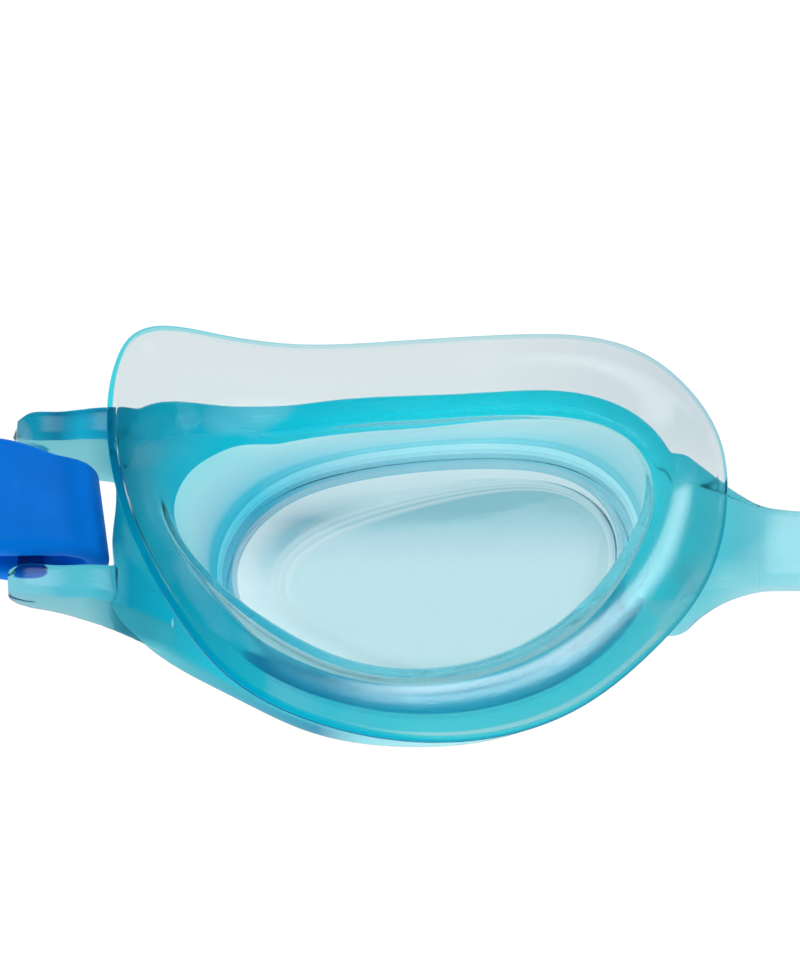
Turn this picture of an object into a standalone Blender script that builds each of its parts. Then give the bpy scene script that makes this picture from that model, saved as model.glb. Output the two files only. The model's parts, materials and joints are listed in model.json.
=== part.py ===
"""Swim goggles lying lens side down, with their head strap laid out behind them.

Lengths here are in millimetres; meshes are made in metres. +X runs across the face to the
wearer's right, +Y towards the brow, +Z from the lenses towards the face. The mirror plane is
X = 0. The left cup is modelled, and the right one is its mirror image.
"""
import math

import bmesh
import bpy
import numpy as np
from mathutils import Matrix, Vector

MM = 0.001
GAP = 0.3                      # clearance between neighbouring pieces
SKIM = 0.01                    # how far a cutter stays off the surface that it must not shave
STATIONS = 48                  # points round a cup outline

# cup
CUP_CENTRE = (-40.5, 0.5)      # middle of the left cup's outlines
FRAME_HEIGHT = 9.0             # front plane to face edge
TEMPLE_RISE = 2.0              # how much higher the frame stands beside the strap loop
EDGE_ROUND = 0.9               # rounding of the frame's outer edges
RIM_HEIGHT = 3.2               # upright rim on the cheek side, below the sloping flank
FLANK_INSET = 1.7              # how far that flank leans inwards at its top
SEAT_LEDGE = 3.7               # top of the ledge that holds the lens from behind
GROOVE = (0.7, 2.9)            # front and back of the lens groove
FRONT_LIP = 0.6                # how far the front lip covers the lens opening
FLANGE = 1.0                   # how far the lens goes into the groove
LENS_WINDOW = (3.0, 0.5)       # inset and front plane of the lens's raised window
SLEEVE_START = 4.0             # foot of the gasket's sleeve
SLEEVE_OFFSET = 1.5            # seat outline beyond the lens opening
SLEEVE_WALL = 1.0
SKIRT_WALL = 1.1
SKIRT_CROWN = 1.7              # how far the skirt bulges towards the face
SKIRT_EDGE = 0.35              # half thickness of the skirt's free edge

# strap loop and its end bar
BAR_X, BAR_Z = 80.5, 8.3
BAR_RADII = (1.4, 1.1)
BAR_ENDS = (-4.0, 13.6)

# nose bridge
BRIDGE_HALF = 6.0
BRIDGE_Z = 5.2                 # height of the flex axis

# strap
STRAP_WIDTH = 13.2
STRAP_NECK = 11.2              # width where it passes through the loop
NECK_SHIFT = 0.75              # how far the neck lies towards the cheek side
STRAP_THICK = 2.6
STRAP_Y = 4.7                  # middle of the strap in the loop
EXIT_X, EXIT_Z = 85.0, 11.4    # where the free strap starts, on the swing axis
EXIT_ANGLE = math.radians(14)
LEG_X = 104.0                  # straight legs beside the head
LEG_START, LEG_END = 30.0, 72.0
STRAP_REACH = 114.0            # swing axis to the back of the strap
TWIST_LENGTH = 31.0            # the strap turns on edge over this length
TAIL_GAPS = (4.4, 3.9)         # main run to tail, at the loop and further on
TAIL_END = 70.0

# adjuster on each leg
SLIDE_AT = 48.0
SLIDE_LENGTH = 11.0
SLIDE_WALL = 1.2
SLIDE_SIDE = 1.6
SLIDE_CLEAR = 0.35

# middle of the footprint, between the skirt's cheek edge and the back of the strap
CENTRE_Y = 48.42

# the strap drops to the surface behind the goggles, so it lies a little past level
DROP = math.asin((EXIT_Z - STRAP_WIDTH / 2 - 0.05) / (STRAP_REACH + STRAP_THICK))
LAID = math.pi / 2 + DROP

LENS_OUTLINE = [
    (-60.1, 0.0), (-57.3, 7.4), (-50.0, 11.8), (-40.7, 13.6), (-31.0, 13.9), (-24.0, 12.0),
    (-20.2, 7.6), (-19.8, 1.5), (-23.0, -6.0), (-30.5, -11.6), (-40.7, -13.5), (-51.0, -11.2),
    (-57.8, -6.3),
]
FRAME_OUTLINE = [
    (-72.4, 11.6), (-69.8, 15.7), (-60.0, 17.2), (-51.0, 17.8), (-42.0, 18.5), (-31.0, 19.1),
    (-23.0, 18.5), (-17.5, 15.4), (-13.8, 8.0), (-14.2, -1.5), (-17.5, -7.3), (-24.0, -13.5),
    (-33.0, -17.6), (-42.0, -18.5), (-53.0, -16.4), (-62.0, -11.5), (-69.0, -6.6),
    (-72.2, -2.6), (-72.4, 4.6),
]
THROAT_OUTLINE = [
    (-66.2, 4.6, 13.0), (-63.2, 9.2, 13.0), (-56.0, 11.7, 12.5), (-46.0, 12.8, 11.8),
    (-37.6, 13.7, 11.0), (-27.0, 14.6, 10.2), (-20.5, 12.9, 10.0), (-17.6, 7.4, 10.0),
    (-19.0, 1.5, 10.0), (-24.0, -6.5, 10.0), (-32.0, -12.5, 10.0), (-40.7, -14.5, 10.0),
    (-49.5, -13.2, 10.5), (-57.5, -8.8, 11.6), (-63.5, -3.2, 12.4),
]
SKIRT_OUTLINE = [
    (-67.5, 21.7, 17.0), (-62.0, 21.25, 16.3), (-57.0, 20.7, 15.6), (-50.0, 20.9, 14.6),
    (-42.8, 22.0, 13.5), (-29.0, 23.7, 12.0), (-18.0, 22.2, 11.0), (-12.9, 17.9, 10.5),
    (-9.8, 11.7, 10.5), (-9.3, 4.9, 10.5), (-11.6, -4.9, 10.5), (-17.0, -12.6, 10.5),
    (-24.7, -19.4, 10.5), (-40.7, -23.3, 10.5), (-53.0, -21.2, 12.0), (-60.0, -17.4, 13.2),
    (-66.3, -10.0, 15.6), (-71.1, 0.2, 17.6), (-72.7, 10.6, 18.0), (-71.8, 17.3, 17.8),
]

# sections across X as (x, lowest y, highest y, lowest z, highest z)
UPPER_ARM = [
    (-66.0, 10.6, 16.0, 1.2, 9.4), (-72.4, 11.9, 15.9, 1.4, 11.0), (-77.5, 11.9, 15.4, 2.4, 11.0),
    (-80.6, 11.9, 15.3, 4.2, 11.0), (-82.2, 12.5, 14.7, 5.4, 10.2),
]
LOWER_ARM = [
    (-66.0, -8.6, -3.2, 1.0, 9.0), (-72.4, -6.6, -2.4, 3.4, 10.3), (-77.5, -6.1, -2.4, 5.8, 10.3),
    (-81.2, -5.9, -2.4, 7.0, 10.6), (-82.8, -5.3, -3.0, 7.6, 10.2),
]
BRIDGE_ROOT = [
    (-17.5, -5.8, 11.2, 1.4, 8.0), (-14.0, -5.5, 11.6, 1.8, 8.0), (-11.9, -4.3, 10.6, 2.4, 7.7),
    (-9.3, -3.3, 8.9, 3.2, 7.1), (-BRIDGE_HALF - GAP, -2.75, 7.1, 3.8, 6.7),
]
BRIDGE = [
    (-BRIDGE_HALF, -2.7, 7.0, 3.85, 6.65), (-3.0, -2.6, 6.4, 3.95, 6.5),
    (0.0, -2.6, 6.3, 4.0, 6.45),
    (3.0, -2.6, 6.4, 3.95, 6.5), (BRIDGE_HALF, -2.7, 7.0, 3.85, 6.65),
]
# the strap's fold round the end bar, as (x, z) along its middle
FOLD = [
    (-84.2, 11.45), (-82.0, 11.15), (-79.5, 11.05), (-77.2, 10.8), (-75.4, 9.8), (-74.7, 8.25),
    (-75.4, 6.7), (-77.2, 5.65), (-79.5, 5.5), (-82.0, 5.9), (-84.2, 6.8),
]


def clear_scene():
    for obj in list(bpy.data.objects):
        bpy.data.objects.remove(obj, do_unlink=True)
    for mesh in list(bpy.data.meshes):
        bpy.data.meshes.remove(mesh)


def collection(name):
    made = bpy.data.collections.new(name)
    bpy.context.scene.collection.children.link(made)
    return made


def material(name, colour, roughness, metallic=0.0):
    made = bpy.data.materials.new(name)
    made.use_nodes = True
    shader = made.node_tree.nodes["Principled BSDF"]
    shader.inputs["Base Color"].default_value = (*colour, 1.0)
    shader.inputs["Roughness"].default_value = roughness
    shader.inputs["Metallic"].default_value = metallic
    made.diffuse_color = (*colour, 1.0)
    return made


# ---- outlines ----

def periodic_spline(knots, values, at):
    """Smooth closed curve through the values at the knots, which are angles in rising order."""
    count = len(knots)
    width = np.diff(np.append(knots, knots[0] + 2 * math.pi))
    rise = (np.roll(values, -1) - values) / width
    system = np.zeros((count, count))
    for i in range(count):
        before, after = width[i - 1], width[i]
        system[i, i - 1] += before
        system[i, i] += 2 * (before + after)
        system[i, (i + 1) % count] += after
    bend = np.linalg.solve(system, 6 * (rise - np.roll(rise, 1)))
    turn = (at - knots[0]) % (2 * math.pi)
    i = np.searchsorted(knots - knots[0], turn, side="right") - 1
    step = turn - (knots[i] - knots[0])
    slope = rise[i] - width[i] * (2 * bend[i] + np.roll(bend, -1)[i]) / 6
    change = (np.roll(bend, -1)[i] - bend[i]) / (6 * width[i])
    return values[i] + step * (slope + step * (bend[i] / 2 + step * change))


def outline(points):
    """The closed outline through the points, at evenly spread angles round the cup's middle."""
    points = np.array([(*p, 0.0)[:3] for p in points])
    away = points[:, :2] - CUP_CENTRE
    angles = np.arctan2(away[:, 1], away[:, 0])
    order = np.argsort(angles)
    angles, away, heights = angles[order], away[order], points[order, 2]
    at = np.arange(STATIONS) * 2 * math.pi / STATIONS
    radius = periodic_spline(angles, np.hypot(away[:, 0], away[:, 1]), at)
    height = periodic_spline(angles, heights, at)
    x = CUP_CENTRE[0] + radius * np.cos(at)
    y = CUP_CENTRE[1] + radius * np.sin(at)
    return np.column_stack([x, y, height])


def offset(line, distance):
    """The outline moved outwards in its own plane."""
    along = np.roll(line, -1, 0) - np.roll(line, 1, 0)
    out = np.column_stack([along[:, 1], -along[:, 0], np.zeros(len(line))])
    return line + distance * out / np.linalg.norm(out, axis=1)[:, None]


def at_height(line, height):
    return np.column_stack([line[:, :2], np.broadcast_to(height, len(line))])


def lifted(line, rise):
    return line + np.array([0.0, 0.0, rise])


def between(a, b, share, lift=0.0):
    return lifted(a + (b - a) * share, lift)


def smooth_step(value):
    """0 below 0, 1 above 1, and an even rise from one to the other."""
    value = np.clip(value, 0, 1)
    return value**2 * (3 - 2 * value)


LENS = outline(LENS_OUTLINE)
FRAME = outline(FRAME_OUTLINE)
THROAT = outline(THROAT_OUTLINE)
SKIRT = outline(SKIRT_OUTLINE)


# ---- meshes ----

def closed_mesh(rows, ring):
    """A mesh through rows of points. A ring joins its last row to its first; if not, both ends are capped."""
    bm = bmesh.new()
    grid = [[bm.verts.new(Vector(p) * MM) for p in row] for row in rows]
    pairs = list(zip(grid, grid[1:]))
    if ring:
        pairs.append((grid[-1], grid[0]))
    else:
        bm.faces.new(grid[0])
        bm.faces.new(list(reversed(grid[-1])))
    for a, b in pairs:
        for i in range(len(a)):
            j = (i + 1) % len(a)
            bm.faces.new((a[i], a[j], b[j], b[i]))
    bmesh.ops.recalc_face_normals(bm, faces=bm.faces)
    return bm


def rounded_rectangle(width, height, rounding, corner=2):
    """Points round a rectangle with rounded corners, centred on the origin."""
    points = []
    for quarter, (sx, sy) in enumerate([(1, 1), (-1, 1), (-1, -1), (1, -1)]):
        centre = (sx * (width / 2 - rounding), sy * (height / 2 - rounding))
        for step in range(corner + 1):
            turn = math.pi / 2 * (quarter + step / corner)
            points.append((centre[0] + rounding * math.cos(turn),
                           centre[1] + rounding * math.sin(turn)))
    return points


def beam(sections, rounding):
    """A bar along X whose rounded section changes along the way."""
    rows = []
    for x, y0, y1, z0, z1 in sections:
        shape = rounded_rectangle(y1 - y0, z1 - z0, rounding)
        rows.append([(x, (y0 + y1) / 2 + y, (z0 + z1) / 2 + z) for y, z in shape])
    return closed_mesh(rows, ring=False)


def ribbon(middle, across, widths):
    """A flat strap along the points of middle, its width along the across vectors."""
    rows = []
    tangents = np.gradient(middle, axis=0)
    for point, tangent, side, width in zip(middle, tangents, across, widths):
        tangent = tangent / np.linalg.norm(tangent)
        side = side - tangent * np.dot(side, tangent)
        side = side / np.linalg.norm(side)
        up = np.cross(tangent, side)
        shape = rounded_rectangle(width, STRAP_THICK, STRAP_THICK * 0.35, corner=1)
        rows.append([point + side * a + up * b for a, b in shape])
    return closed_mesh(rows, ring=False)


def mirrored(bm):
    bmesh.ops.scale(bm, vec=(-1, 1, 1), verts=bm.verts)
    bmesh.ops.recalc_face_normals(bm, faces=bm.faces)
    return bm


def unturned(bm):
    return bm


TURNS = {"left": unturned, "right": mirrored}


def pivot(name, place, parent, group):
    """An empty on a joint's axis."""
    made = bpy.data.objects.new(name, None)
    made.empty_display_size = 0.01
    group.objects.link(made)
    made["place"] = place
    made.parent = parent
    base = Vector(parent["place"]) if parent else Vector((0, 0, 0))
    made.location = (Vector(place) - base) * MM
    return made


def piece(name, bm, finish, parent, group):
    """A named object from a mesh in the model's frame, with its origin on its parent's place."""
    bmesh.ops.translate(bm, vec=-Vector(parent["place"]) * MM, verts=bm.verts)
    mesh = bpy.data.meshes.new(name)
    bm.to_mesh(mesh)
    bm.free()
    mesh.shade_smooth()
    mesh.set_sharp_from_angle(angle=math.radians(35))
    mesh.materials.append(finish)
    made = bpy.data.objects.new(name, mesh)
    group.objects.link(made)
    made.parent = parent
    return made


def hide_as_cutter(obj):
    obj.hide_render = True
    obj.display_type = "WIRE"


def join_to(obj, others, operation="UNION"):
    for other in others:
        cut = obj.modifiers.new(f"{operation.lower()} {other.name}", "BOOLEAN")
        cut.operation = operation
        cut.solver = "EXACT"
        cut.object = other
        hide_as_cutter(other)


# ---- cup pieces ----

def sleeve_line(share):
    """The gasket's inner wall, from the lens seat (0) to the throat (1)."""
    foot = at_height(offset(LENS, SLEEVE_OFFSET), SLEEVE_START)
    return between(foot, THROAT, share)


def frame_rows():
    """The frame's section: up the outside, down beside the sleeve, and round the groove."""
    top = FRAME_HEIGHT + TEMPLE_RISE * smooth_step((-FRAME[:, 0] - 60) / 10)
    cheek = smooth_step(-FRAME[:, 1] / 8)
    rim = (top - EDGE_ROUND) * (1 - cheek) + RIM_HEIGHT * cheek
    inset = (EDGE_ROUND * (1 - cheek) + FLANK_INSET * cheek)[:, None]
    clear = SLEEVE_WALL + GAP
    inside = offset(sleeve_line(0.72), clear)
    return [
        at_height(offset(FRAME, -EDGE_ROUND), 0.0),
        at_height(FRAME, EDGE_ROUND),
        at_height(FRAME, rim),
        at_height(offset(FRAME, -inset), top),
        at_height(inside, np.minimum(top, inside[:, 2])),
        at_height(offset(sleeve_line(0.0), clear), SEAT_LEDGE),
        at_height(LENS, SEAT_LEDGE),
        at_height(LENS, GROOVE[1]),
        at_height(offset(LENS, FLANGE + GAP), GROOVE[1]),
        at_height(offset(LENS, FLANGE + GAP), GROOVE[0]),
        at_height(offset(LENS, -FRONT_LIP), GROOVE[0]),
        at_height(offset(LENS, -FRONT_LIP), 0.0),
    ]


def gasket_rows():
    """The gasket's section: up the inside of the sleeve, over the skirt, and back underneath."""
    crown = SKIRT_CROWN
    return [
        sleeve_line(0.0),
        between(sleeve_line(0.0), THROAT, 0.5, -0.2),
        THROAT,
        between(THROAT, SKIRT, 0.10, 0.45 * crown),
        between(THROAT, SKIRT, 0.35, crown),
        between(THROAT, SKIRT, 0.70, 0.75 * crown),
        lifted(offset(SKIRT, -SKIRT_EDGE), SKIRT_EDGE),
        lifted(SKIRT, -SKIRT_EDGE),
        between(THROAT, SKIRT, 0.70, 0.75 * crown - SKIRT_WALL),
        between(THROAT, SKIRT, 0.35, crown - 1.2 * SKIRT_WALL),
        offset(sleeve_line(0.86), SLEEVE_WALL),
        offset(sleeve_line(0.5), SLEEVE_WALL),
        offset(sleeve_line(0.0), SLEEVE_WALL),
    ]


def lens_rows():
    inset, front = LENS_WINDOW
    flange_front = GROOVE[0] + GAP
    return [
        at_height(offset(LENS, -inset), front),
        at_height(offset(LENS, -inset), flange_front),
        at_height(offset(LENS, FLANGE), flange_front),
        at_height(offset(LENS, FLANGE), GROOVE[1] - GAP),
    ]


def end_bar():
    bm = bmesh.new()
    length = BAR_ENDS[1] - BAR_ENDS[0]
    place = Matrix.Translation(Vector((-BAR_X, sum(BAR_ENDS) / 2, BAR_Z)) * MM)
    lie = Matrix.Rotation(math.pi / 2, 4, "X")
    oval = Matrix.Diagonal((BAR_RADII[0] * MM, BAR_RADII[1] * MM, length * MM, 1))
    bmesh.ops.create_cone(bm, cap_ends=True, segments=16, radius1=1, radius2=1, depth=1,
                          matrix=place @ lie @ oval)
    bmesh.ops.recalc_face_normals(bm, faces=bm.faces)
    return bm


def frame_half(side, finish, parent, group, cutters):
    """One frame: the ring, its strap loop and its bridge root joined into one body."""
    turn = TURNS[side]
    ring = piece(f"{side}_frame", turn(closed_mesh(frame_rows(), ring=True)), finish, parent, group)
    extras = [
        piece(f"{side}_upper_arm_tool", turn(beam(UPPER_ARM, 0.9)), finish, parent, cutters),
        piece(f"{side}_lower_arm_tool", turn(beam(LOWER_ARM, 0.9)), finish, parent, cutters),
        piece(f"{side}_bar_tool", turn(end_bar()), finish, parent, cutters),
        piece(f"{side}_bridge_root_tool", turn(beam(BRIDGE_ROOT, 0.9)), finish, parent, cutters),
    ]
    join_to(ring, extras)
    room = SLEEVE_WALL + GAP - SKIM
    hollow = [at_height(offset(sleeve_line(0.0), room), SEAT_LEDGE + SKIM),
              offset(sleeve_line(0.72), room), offset(sleeve_line(1.3), room)]
    mouth = piece(f"{side}_hollow_tool", turn(closed_mesh(hollow, ring=False)), finish, parent, cutters)
    join_to(ring, [mouth], "DIFFERENCE")
    return ring


# ---- strap ----

def arch():
    """Half of the strap's middle line as worn, from the left loop, as (x, rise above the swing axis)."""
    start = np.array([-EXIT_X, 0.0])
    leave = start + 11.0 * np.array([-math.cos(EXIT_ANGLE), math.sin(EXIT_ANGLE)])
    leg = np.array([-LEG_X, LEG_START])
    arrive = leg - np.array([0.0, 15.0])
    t = np.linspace(0, 1, 17)[:, None]
    out = start * (1 - t)**3 + 3 * leave * t * (1 - t)**2 + 3 * arrive * t**2 * (1 - t) + leg * t**3
    straight = [(-LEG_X, rise) for rise in np.linspace(LEG_START, LEG_END, 6)[1:]]
    turn = np.linspace(0, math.pi / 2, 18)[1:]
    back = np.column_stack([-LEG_X * np.cos(turn), LEG_END + (STRAP_REACH - LEG_END) * np.sin(turn)])
    return np.vstack([out, straight, back])


def laid(points):
    """Turns the worn arch down behind the goggles: its middle line, width directions and run so far."""
    steps = np.linalg.norm(np.diff(points, axis=0), axis=1)
    run = np.concatenate([[0.0], np.cumsum(steps)])
    share = np.clip(run / TWIST_LENGTH, 0, 1)
    angle = LAID * share**2 * (3 - 2 * share)
    middle = np.column_stack([points[:, 0], STRAP_Y + points[:, 1] * np.sin(angle),
                              EXIT_Z + points[:, 1] * np.cos(angle)])
    across = np.column_stack([np.zeros(len(run)), np.cos(angle), -np.sin(angle)])
    return middle, across, run


def strap_band():
    middle, across, _ = laid(arch())
    flip = np.array([-1, 1, 1])
    middle = np.vstack([middle, (middle * flip)[-2::-1]])
    across = np.vstack([across, across[-2::-1]])
    return ribbon(middle, across, [STRAP_WIDTH] * len(middle))


def strap_tail():
    """The returning end: outside the main run, from the loop to just past the adjuster."""
    middle, across, run = laid(arch())
    keep = np.abs(middle[:, 1] - STRAP_Y) <= TAIL_END
    keep &= middle[:, 0] < -LEG_X / 2
    tangent = np.gradient(middle, axis=0)
    normal = np.cross(across, tangent)
    normal /= np.linalg.norm(normal, axis=1)[:, None]
    share = np.clip(run / 20.0, 0, 1)[:, None]
    away = TAIL_GAPS[0] + (TAIL_GAPS[1] - TAIL_GAPS[0]) * share
    return ribbon((middle - normal * away)[keep], across[keep], [STRAP_WIDTH] * int(keep.sum()))


def smooth_run(points, count):
    """A smooth open curve through the points, evenly sampled between them."""
    points = np.array(points)
    ends = np.vstack([2 * points[0] - points[1], points, 2 * points[-1] - points[-2]])
    found = []
    for a, b, c, d in zip(ends, ends[1:], ends[2:], ends[3:]):
        for t in np.linspace(0, 1, count, endpoint=False):
            cubic = 3 * b - a - 3 * c + d
            square = 2 * a - 5 * b + 4 * c - d
            found.append(0.5 * (2 * b + (c - a) * t + square * t**2 + cubic * t**3))
    found.append(points[-1])
    return np.array(found)


def strap_fold():
    line = smooth_run(FOLD, 3)
    into = smooth_step((line[:, 0] - FOLD[0][0]) / 7.2)
    middle = np.column_stack([line[:, 0], STRAP_Y - NECK_SHIFT * into, line[:, 1]])
    widths = STRAP_WIDTH + (STRAP_NECK - STRAP_WIDTH) * into
    return ribbon(middle, np.tile([0.0, 1.0, 0.0], (len(line), 1)), widths)


def slide_piece(side, finish, parent, group, cutters):
    """An adjuster: a block with one channel for the main run and one for the tail."""
    sign = 1 if side == "right" else -1
    channel = STRAP_THICK + 2 * SLIDE_CLEAR
    inner = LEG_X - channel / 2 - SLIDE_WALL
    outer = LEG_X + TAIL_GAPS[1] + channel / 2 + SLIDE_WALL
    tall = STRAP_WIDTH + 2 * SLIDE_CLEAR
    place = Vector((0.0, STRAP_Y + SLIDE_AT * math.cos(DROP), EXIT_Z - SLIDE_AT * math.sin(DROP)))
    hold = pivot(f"{side}_slide_path", place, parent, group)
    hold.rotation_euler = (-DROP, 0, 0)

    def block(name, x, width, length, height, where):
        bm = bmesh.new()
        size = Matrix.Diagonal((width * MM, length * MM, height * MM, 1))
        bmesh.ops.create_cube(bm, size=1.0, matrix=size)
        bmesh.ops.translate(bm, vec=(sign * x * MM, 0, 0), verts=bm.verts)
        mesh = bpy.data.meshes.new(name)
        bm.to_mesh(mesh)
        bm.free()
        mesh.materials.append(finish)
        made = bpy.data.objects.new(name, mesh)
        where.objects.link(made)
        made.parent = hold
        return made

    body = block(f"strap_slide_{side}", (inner + outer) / 2, outer - inner, SLIDE_LENGTH,
                 tall + 2 * SLIDE_SIDE, group)
    bevel = body.modifiers.new("rounding", "BEVEL")
    bevel.width = 1.0 * MM
    bevel.segments = 2
    slots = [block(f"{side}_slot_tool_{n}", LEG_X + away, channel, SLIDE_LENGTH * 2, tall, cutters)
             for n, away in enumerate((0.0, TAIL_GAPS[1]))]
    join_to(body, slots, "DIFFERENCE")
    return body


def build():
    clear_scene()
    parts = collection("swim_goggles")
    cutters = collection("cutters")
    aqua = material("aqua_frame", (0.03, 0.47, 0.56), 0.12)
    skirt = material("aqua_gasket", (0.45, 0.80, 0.85), 0.4)
    clear = material("tinted_lens", (0.62, 0.84, 0.90), 0.05)
    blue = material("blue_strap", (0.0, 0.16, 0.66), 0.45)
    dark = material("blue_adjuster", (0.01, 0.06, 0.30), 0.35)

    ground = pivot("goggles", (0.0, 0.0, 0.0), None, parts)
    ground.location = (0.0, -CENTRE_Y * MM, 0.0)
    flex = pivot("bridge_flex", (0.0, 0.0, BRIDGE_Z), ground, parts)
    ends = pivot("strap_pivot", (BAR_X, STRAP_Y, BAR_Z), ground, parts)
    swing = pivot("strap_swing", (0.0, STRAP_Y, EXIT_Z), ends, parts)

    for side, holder in (("left", flex), ("right", ground)):
        turn = TURNS[side]
        frame_half(side, aqua, holder, parts, cutters)
        piece(f"{side}_gasket", turn(closed_mesh(gasket_rows(), ring=True)), skirt, holder, parts)
        piece(f"{side}_lens", turn(closed_mesh(lens_rows(), ring=False)), clear, holder, parts)
        piece(f"strap_end_{side}", turn(strap_fold()), blue, ends, parts)
        piece(f"strap_tail_{side}", turn(strap_tail()), blue, swing, parts)
        slide_piece(side, dark, swing, parts, cutters)
    piece("nose_bridge", beam(BRIDGE, 0.9), aqua, ground, parts)
    piece("strap_band", strap_band(), blue, swing, parts)


build()
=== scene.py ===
"""Looks of the swim goggles: smooth moulded frames and gaskets, lenses, bridge, strap and adjusters.

Lengths are in millimetres in the cup's own frame (mirror plane X = 0, Y towards the brow from the
middle of the cup, Z up from the lens fronts); meshes are made in metres in the row frame. The left
cup is modelled, and the right one is its mirror image.
"""
import json
import math

import bmesh
import bpy
import numpy as np
from mathutils import Matrix, Vector, kdtree


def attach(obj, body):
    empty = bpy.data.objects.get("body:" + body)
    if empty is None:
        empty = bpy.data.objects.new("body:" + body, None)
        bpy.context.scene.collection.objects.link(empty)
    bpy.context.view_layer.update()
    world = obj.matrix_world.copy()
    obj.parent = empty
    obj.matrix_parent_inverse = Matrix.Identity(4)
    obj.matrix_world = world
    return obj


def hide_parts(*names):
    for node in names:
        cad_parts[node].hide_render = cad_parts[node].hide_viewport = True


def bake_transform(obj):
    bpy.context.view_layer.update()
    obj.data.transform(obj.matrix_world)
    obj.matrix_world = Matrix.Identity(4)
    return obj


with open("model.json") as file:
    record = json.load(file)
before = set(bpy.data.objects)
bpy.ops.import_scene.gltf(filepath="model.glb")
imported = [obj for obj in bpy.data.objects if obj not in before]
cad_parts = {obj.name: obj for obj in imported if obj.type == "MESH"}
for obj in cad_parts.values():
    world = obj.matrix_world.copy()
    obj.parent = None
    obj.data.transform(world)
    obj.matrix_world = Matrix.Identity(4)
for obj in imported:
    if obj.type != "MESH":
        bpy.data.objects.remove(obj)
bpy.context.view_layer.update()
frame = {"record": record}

MM = 0.001
JOINTS = {j["name"]: j for j in frame["record"]["behaviour"]["joints"]}
STRAP_Y = 4.7                                                  # middle of the strap in the loop
EXIT_Z = JOINTS["strap_swing"]["pos_m"][2] / MM                # swing axis of the strap
CENTRE_Y = STRAP_Y - JOINTS["strap_swing"]["pos_m"][1] / MM    # row frame's Y is this much less
BAR_X = JOINTS["strap_follow"]["pos_m"][0] / MM
BAR_Z = JOINTS["strap_follow"]["pos_m"][2] / MM

# ---- sizes of the cup ----
CUP_CENTRE = (-40.5, 0.5)
STATIONS = 288
REMESH = 0.26
FRAME_HEIGHT = 9.0
TEMPLE_RISE = 2.0              # how much higher the frame's top is at the temple
FRONT_ROUNDING = 0.7
BROW_INSET = 0.6               # how far the top edge lies inside the outline on the brow side
RIM_HEIGHT = 3.2               # upright rim on the cheek side, below the sloping flank
FLANK_INSET = 1.7              # how far that flank leans inwards at its top
GROOVE = (0.7, 2.9)            # the lens's groove, from and to this height
GROOVE_REACH = 1.3             # how far the groove goes outside the lens's outline
LIP = (0.45, 0.6)              # the lip's reach over the lens, and how much more it is at the brow
SEAT_LEDGE = 3.7               # height of the ledge round the lens
SLEEVE_START = 3.8             # the gasket's foot stands this high,
SLEEVE_OFFSET = 1.5            # and this far outside the lens's outline
SLEEVE_WALL = 1.0
SLEEVE_GAP = 0.04              # between the sleeve and the frame
SKIRT_WALL = 0.9
SKIRT_CROWN = 1.7              # how far the cheek roll swells above a straight sheet
SKIRT_EDGE = 0.42              # half thickness of the skirt's free edge
STEP_REACH = (0.45, 1.15)      # the lens's steps spread this much at the nose, and more at the temple
# how deep the painted teal shade of that edge is, by the angle round the cup from its nasal side
EDGE_SHADE_STRENGTH = [
    (0, 0.6), (60, 0.35), (120, 0.35), (150, 0.7), (180, 1.0), (230, 1.0), (270, 0.8), (310, 0.7), (360, 0.6),
]
MOULDING_SHARP = 38            # edges of the moulding and its pieces are sharp above this angle

LENS_OUTLINE = [
    (-60.1, 0.0), (-57.3, 7.4), (-50.0, 11.8), (-40.7, 13.6), (-31.0, 13.9), (-24.0, 12.0),
    (-20.2, 7.6), (-19.8, 1.5), (-23.0, -6.0), (-30.5, -11.6), (-40.7, -13.5), (-51.0, -11.2),
    (-57.8, -6.3),
]
FRAME_OUTLINE = [
    (-71.9, 11.6), (-69.8, 15.7), (-60.0, 17.2), (-51.0, 17.8), (-42.0, 18.5), (-31.0, 19.1),
    (-23.0, 18.5), (-17.5, 15.4), (-13.8, 8.0), (-14.2, -1.5), (-17.3, -7.4), (-24.0, -13.5),
    (-33.0, -17.6), (-42.0, -18.5), (-53.0, -16.4), (-62.0, -11.5), (-69.0, -6.6),
    (-71.8, -2.6), (-71.9, 4.6),
]
THROAT_OUTLINE = [
    (-66.2, 4.6, 13.0), (-63.2, 9.2, 13.0), (-56.0, 11.7, 12.5), (-46.0, 12.8, 11.8),
    (-37.6, 13.7, 11.0), (-27.0, 14.6, 10.2), (-20.5, 12.9, 10.0), (-17.6, 7.4, 10.0),
    (-19.0, 1.5, 10.0), (-24.0, -6.5, 10.0), (-32.0, -12.5, 10.0), (-40.7, -14.5, 10.0),
    (-49.5, -13.2, 10.5), (-57.5, -8.8, 11.6), (-63.5, -3.2, 12.4),
]
SKIRT_OUTLINE = [
    (-67.5, 21.7, 17.0), (-62.0, 21.25, 16.3), (-57.0, 20.7, 15.6), (-50.0, 20.9, 14.6),
    (-42.8, 22.0, 13.5), (-29.0, 23.7, 12.0), (-18.0, 22.2, 11.0), (-12.9, 17.9, 10.5),
    (-9.8, 11.7, 10.5), (-9.3, 4.9, 10.5), (-11.6, -4.9, 10.5), (-17.0, -12.6, 10.5),
    (-24.7, -19.4, 10.5), (-40.7, -23.3, 10.5), (-53.0, -21.2, 12.0), (-60.0, -17.4, 13.2),
    (-66.3, -10.0, 15.6), (-71.1, 0.2, 17.6), (-72.7, 10.6, 18.0), (-71.8, 17.3, 17.8),
]

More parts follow.
